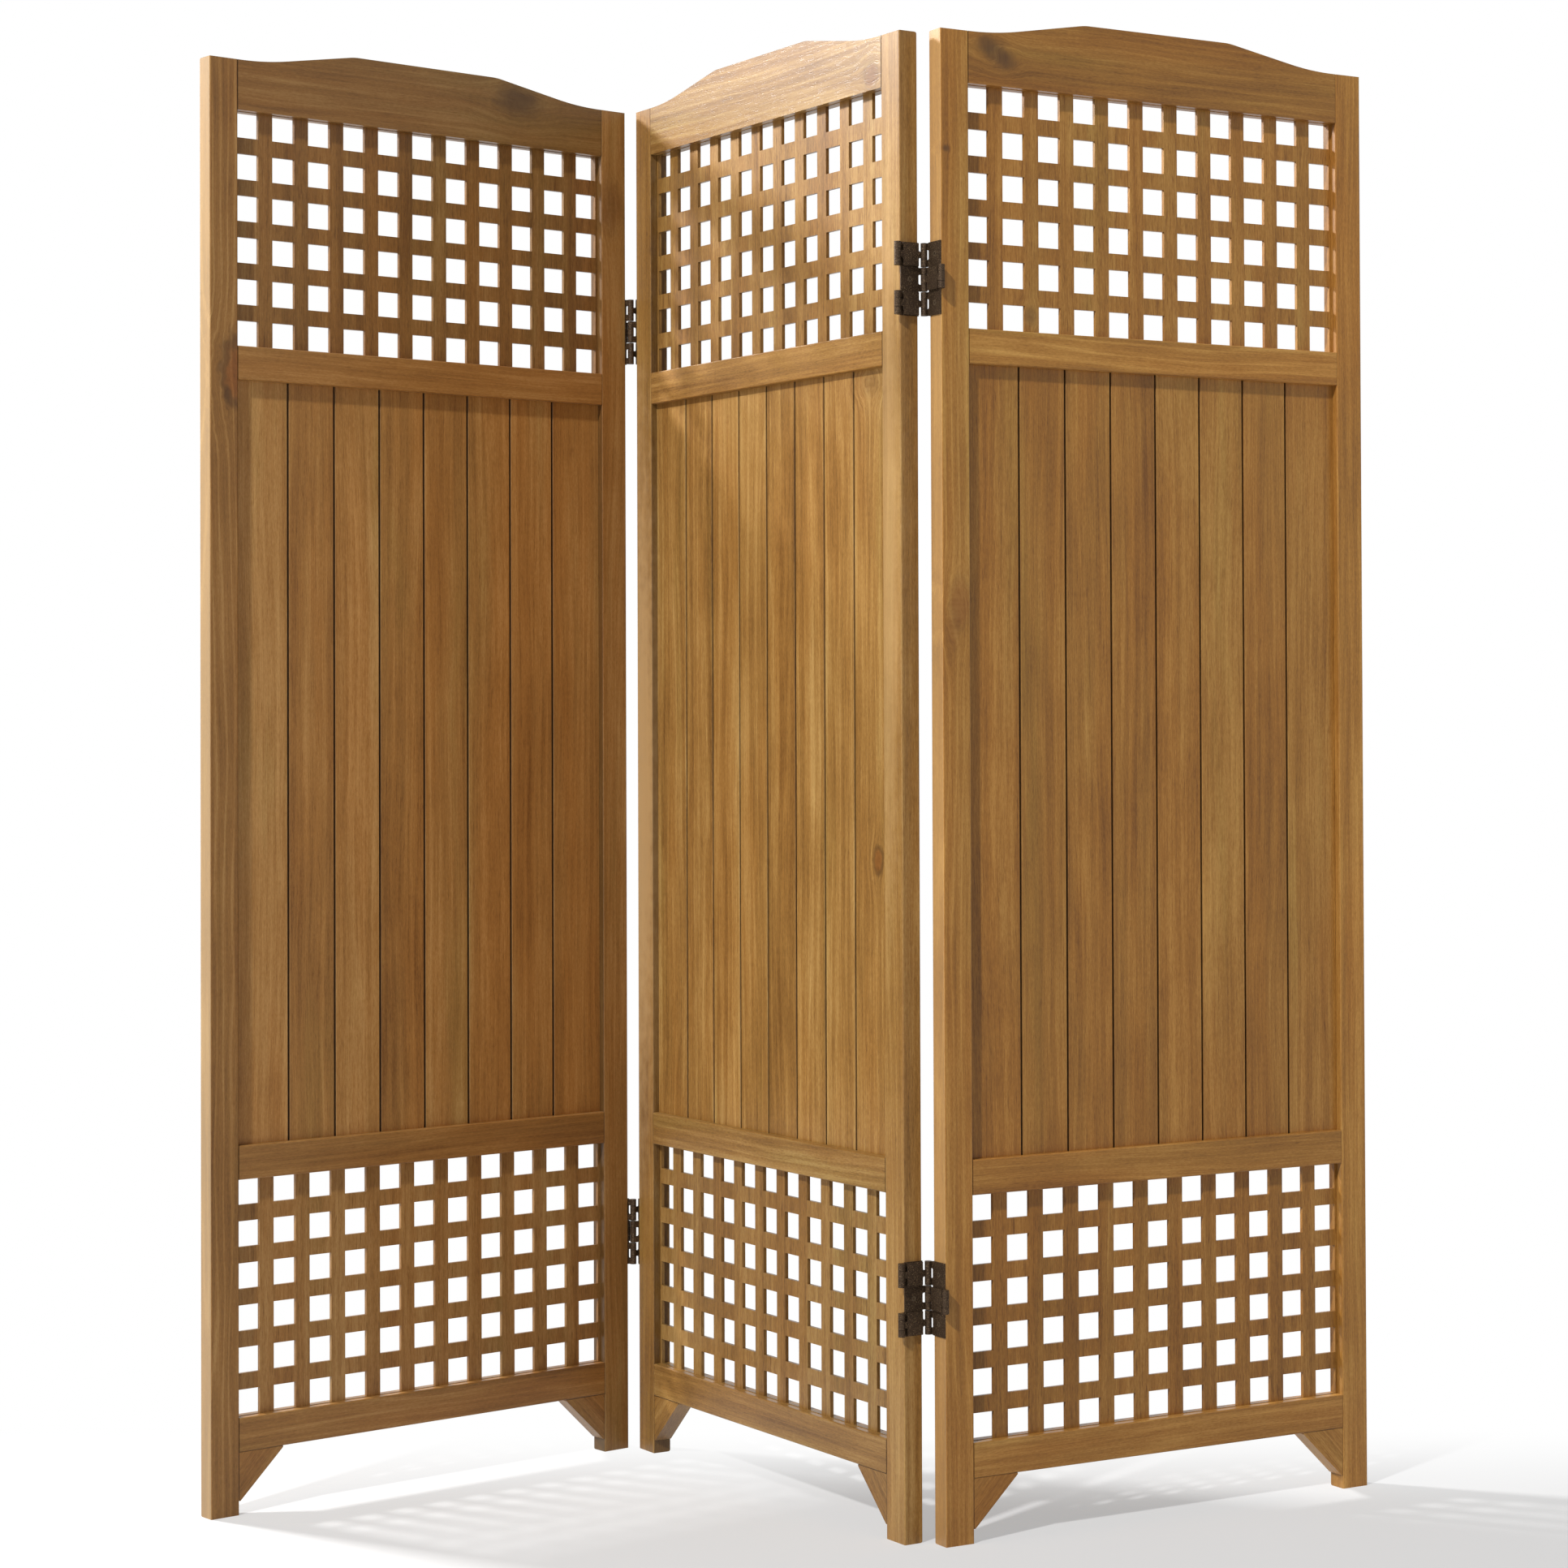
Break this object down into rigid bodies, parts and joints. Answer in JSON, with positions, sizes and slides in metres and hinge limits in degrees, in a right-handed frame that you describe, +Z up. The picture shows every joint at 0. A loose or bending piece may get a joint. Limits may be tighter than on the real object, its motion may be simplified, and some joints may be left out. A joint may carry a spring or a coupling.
{
  "type": "folding screen",
  "caption": "Folding screen of honey-stained wood: arched framed panels with square lattice above and below tongued boards, joined by double-acting hinges.",
  "frame": {"origin": "on the floor, under the middle of the footprint of the screen as it stands in its zigzag", "axes": "+Z up, -Y towards the viewer of the picture, +X to that viewer's right"},
  "size_m": [1.146, 0.4678, 1.4305],
  "materials": {
    "stile_wood": "honey stain, satin lacquer, grain along the length",
    "rail_wood": "honey stain, satin lacquer, grain across the panel",
    "bracket_wood": "honey stain, satin lacquer, grain along the slant",
    "board_wood": "honey stain, satin lacquer, upright grain",
    "lattice_wood": "honey stain, satin lacquer, upright grain",
    "hinge_metal": "dark bronze with a fine hammered surface",
    "pin_metal": "dark bronze",
    "screw_metal": "dark bronze"
  },
  "bodies": {
    "left_panel": {"left_panel_left_stile": "stile_wood", "left_panel_right_stile": "stile_wood", "left_panel_top_rail": "rail_wood", "left_panel_upper_rail": "rail_wood", "left_panel_lower_rail": "rail_wood", "left_panel_bottom_rail": "rail_wood", "left_panel_left_bracket": "bracket_wood", "left_panel_right_bracket": "bracket_wood", "left_panel_boards": "board_wood", "left_panel_upper_lattice": "lattice_wood", "left_panel_lower_lattice": "lattice_wood", "left_lower_hinge_side_leaf": "hinge_metal", "left_lower_hinge_middle_link": "hinge_metal", "left_upper_hinge_side_leaf": "hinge_metal", "left_upper_hinge_middle_link": "hinge_metal", "left_panel_hinge_pins": "pin_metal", "left_panel_hinge_screws": "screw_metal"},
    "centre_panel": {"centre_panel_left_stile": "stile_wood", "centre_panel_right_stile": "stile_wood", "centre_panel_top_rail": "rail_wood", "centre_panel_upper_rail": "rail_wood", "centre_panel_lower_rail": "rail_wood", "centre_panel_bottom_rail": "rail_wood", "centre_panel_left_bracket": "bracket_wood", "centre_panel_right_bracket": "bracket_wood", "centre_panel_boards": "board_wood", "centre_panel_upper_lattice": "lattice_wood", "centre_panel_lower_lattice": "lattice_wood", "left_lower_hinge_centre_leaf": "hinge_metal", "left_lower_hinge_outer_links": "hinge_metal", "left_upper_hinge_centre_leaf": "hinge_metal", "left_upper_hinge_outer_links": "hinge_metal", "right_lower_hinge_centre_leaf": "hinge_metal", "right_lower_hinge_outer_links": "hinge_metal", "right_upper_hinge_centre_leaf": "hinge_metal", "right_upper_hinge_outer_links": "hinge_metal", "centre_panel_hinge_pins": "pin_metal", "centre_panel_hinge_screws": "screw_metal"},
    "right_panel": {"right_panel_left_stile": "stile_wood", "right_panel_right_stile": "stile_wood", "right_panel_top_rail": "rail_wood", "right_panel_upper_rail": "rail_wood", "right_panel_lower_rail": "rail_wood", "right_panel_bottom_rail": "rail_wood", "right_panel_left_bracket": "bracket_wood", "right_panel_right_bracket": "bracket_wood", "right_panel_boards": "board_wood", "right_panel_upper_lattice": "lattice_wood", "right_panel_lower_lattice": "lattice_wood", "right_lower_hinge_side_leaf": "hinge_metal", "right_lower_hinge_middle_link": "hinge_metal", "right_upper_hinge_side_leaf": "hinge_metal", "right_upper_hinge_middle_link": "hinge_metal", "right_panel_hinge_pins": "pin_metal", "right_panel_hinge_screws": "screw_metal"}
  },
  "joints": [
    {"name": "left_fold", "type": "hinge", "parent": "centre_panel", "child": "left_panel", "pos_m": [-0.16943, 0.20758, 0.7], "axis": [0, 0, 1], "range_deg": [-97.3, 82.7]},
    {"name": "right_fold", "type": "hinge", "parent": "centre_panel", "child": "right_panel", "pos_m": [0.1257, -0.20478, 0.7], "axis": [0, 0, 1], "range_deg": [-87.9, 92.1]}
  ]
}
